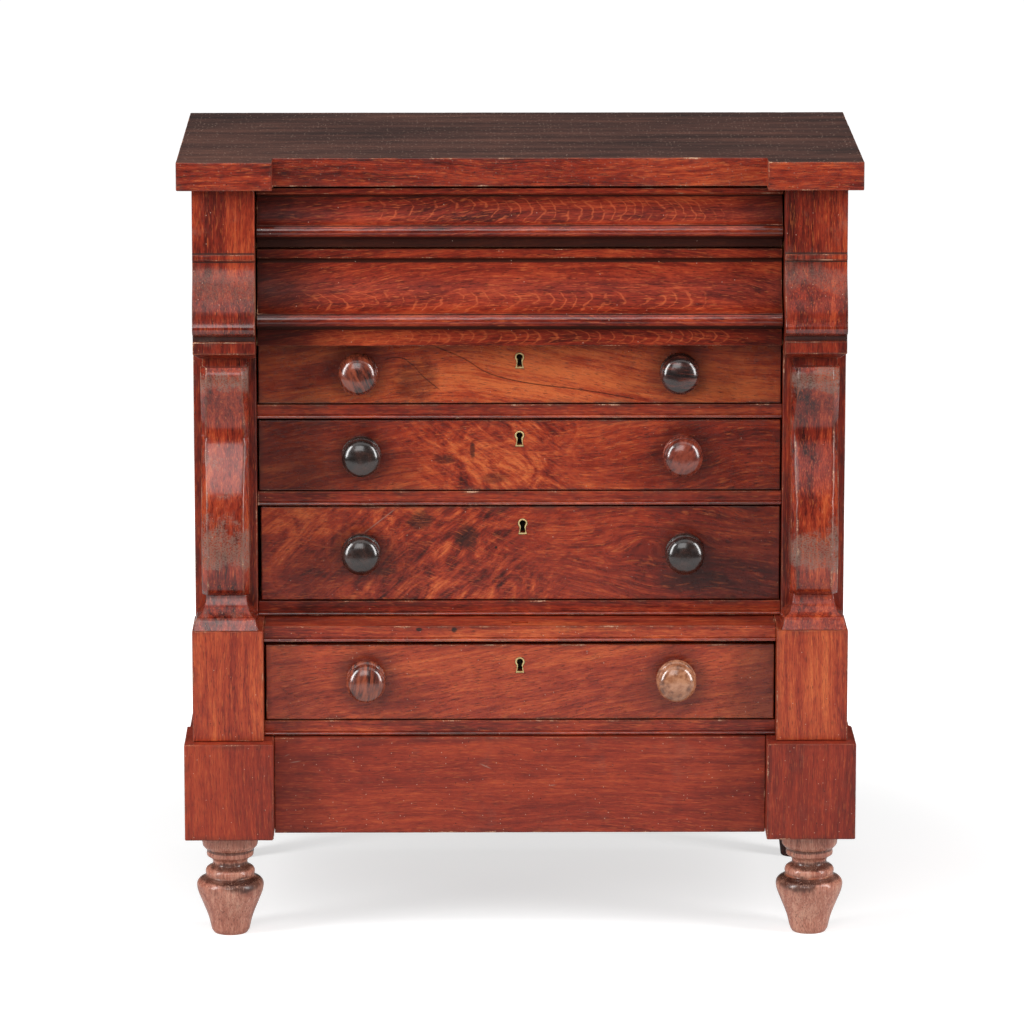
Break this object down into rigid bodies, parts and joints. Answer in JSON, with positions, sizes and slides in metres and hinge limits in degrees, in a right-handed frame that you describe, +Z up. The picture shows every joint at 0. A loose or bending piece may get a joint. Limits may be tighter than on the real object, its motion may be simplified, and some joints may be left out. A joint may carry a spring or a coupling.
{
  "type": "miniature chest of drawers",
  "caption": "Miniature mahogany chest: projecting top, ogee frieze drawers over flat-fronted drawers with turned knobs, scrolled consoles, plinth and turned feet.",
  "frame": {"origin": "middle of the bounding box at the ground, under the feet", "axes": "+Z up, -Y towards the front with the drawers, +X to the right seen from the front"},
  "size_m": [0.49, 0.272, 0.5688],
  "materials": {
    "mahogany_top": "dark French-polished mahogany, dusty",
    "mahogany_case": "red mahogany with a satin polish",
    "mahogany_carved": "carved red mahogany, worn and waxed",
    "mahogany_plinth": "duller red mahogany with pale dents",
    "mahogany_feet": "turned mahogany, worn and chipped",
    "flame_mahogany": "figured mahogany veneer, polished",
    "drawer_pine": "bare softwood, aged",
    "knob_rosewood": "turned and polished, streaked dark",
    "knob_ebonised": "turned and polished, near black",
    "knob_replaced": "turned and polished, golden brown",
    "escutcheon_brass": "aged brass",
    "lock_steel": "dull steel"
  },
  "bodies": {
    "carcase": {"top_board": "mahogany_top", "side_left": "mahogany_case", "side_right": "mahogany_case", "pilaster_left": "mahogany_case", "pilaster_right": "mahogany_case", "pedestal_left": "mahogany_case", "pedestal_right": "mahogany_case", "rail_1": "mahogany_case", "rail_2": "mahogany_case", "rail_3": "mahogany_case", "base_top_board": "mahogany_case", "base_bottom_board": "mahogany_case", "capital_left": "mahogany_carved", "capital_right": "mahogany_carved", "console_left": "mahogany_carved", "console_right": "mahogany_carved", "plinth_block_left": "mahogany_plinth", "plinth_block_right": "mahogany_plinth", "plinth_side_left": "mahogany_plinth", "plinth_side_right": "mahogany_plinth", "plinth_front": "mahogany_plinth", "front_foot_left": "mahogany_feet", "front_foot_right": "mahogany_feet", "back_foot_left": "mahogany_feet", "back_foot_right": "mahogany_feet", "back_board": "drawer_pine", "frieze_dust_board": "drawer_pine", "ogee_dust_board": "drawer_pine"},
    "frieze_drawer_upper": {"frieze_drawer_upper_front": "flame_mahogany", "frieze_drawer_upper_tray": "drawer_pine"},
    "frieze_drawer_lower": {"frieze_drawer_lower_front": "flame_mahogany", "frieze_drawer_lower_tray": "drawer_pine"},
    "drawer_1": {"drawer_1_front": "flame_mahogany", "drawer_1_tray": "drawer_pine", "drawer_1_knob_left": "knob_rosewood", "drawer_1_knob_right": "knob_ebonised", "keyhole_plate_1": "escutcheon_brass", "lock_case_1": "escutcheon_brass"},
    "bolt_1": {"lock_bolt_1": "lock_steel"},
    "drawer_2": {"drawer_2_front": "flame_mahogany", "drawer_2_tray": "drawer_pine", "drawer_2_knob_left": "knob_ebonised", "drawer_2_knob_right": "knob_rosewood", "keyhole_plate_2": "escutcheon_brass", "lock_case_2": "escutcheon_brass"},
    "bolt_2": {"lock_bolt_2": "lock_steel"},
    "drawer_3": {"drawer_3_front": "flame_mahogany", "drawer_3_tray": "drawer_pine", "drawer_3_knob_left": "knob_ebonised", "drawer_3_knob_right": "knob_ebonised", "keyhole_plate_3": "escutcheon_brass", "lock_case_3": "escutcheon_brass"},
    "bolt_3": {"lock_bolt_3": "lock_steel"},
    "drawer_4": {"drawer_4_front": "flame_mahogany", "drawer_4_tray": "drawer_pine", "drawer_4_knob_left": "knob_rosewood", "drawer_4_knob_right": "knob_replaced", "keyhole_plate_4": "escutcheon_brass", "lock_case_4": "escutcheon_brass"},
    "bolt_4": {"lock_bolt_4": "lock_steel"}
  },
  "joints": [
    {"name": "frieze_drawer_upper_slide", "type": "slide", "parent": "carcase", "child": "frieze_drawer_upper", "axis": [0, -1, 0], "range_m": [0, 0.14]},
    {"name": "frieze_drawer_lower_slide", "type": "slide", "parent": "carcase", "child": "frieze_drawer_lower", "axis": [0, -1, 0], "range_m": [0, 0.14]},
    {"name": "drawer_1_slide", "type": "slide", "parent": "carcase", "child": "drawer_1", "axis": [0, -1, 0], "range_m": [0, 0.14]},
    {"name": "drawer_2_slide", "type": "slide", "parent": "carcase", "child": "drawer_2", "axis": [0, -1, 0], "range_m": [0, 0.14]},
    {"name": "drawer_3_slide", "type": "slide", "parent": "carcase", "child": "drawer_3", "axis": [0, -1, 0], "range_m": [0, 0.14]},
    {"name": "drawer_4_slide", "type": "slide", "parent": "carcase", "child": "drawer_4", "axis": [0, -1, 0], "range_m": [0, 0.14]},
    {"name": "bolt_1_rise", "type": "slide", "parent": "drawer_1", "child": "bolt_1", "axis": [0, 0, 1], "range_m": [0, 0.004]},
    {"name": "bolt_2_rise", "type": "slide", "parent": "drawer_2", "child": "bolt_2", "axis": [0, 0, 1], "range_m": [0, 0.004]},
    {"name": "bolt_3_rise", "type": "slide", "parent": "drawer_3", "child": "bolt_3", "axis": [0, 0, 1], "range_m": [0, 0.004]},
    {"name": "bolt_4_rise", "type": "slide", "parent": "drawer_4", "child": "bolt_4", "axis": [0, 0, 1], "range_m": [0, 0.004]}
  ]
}
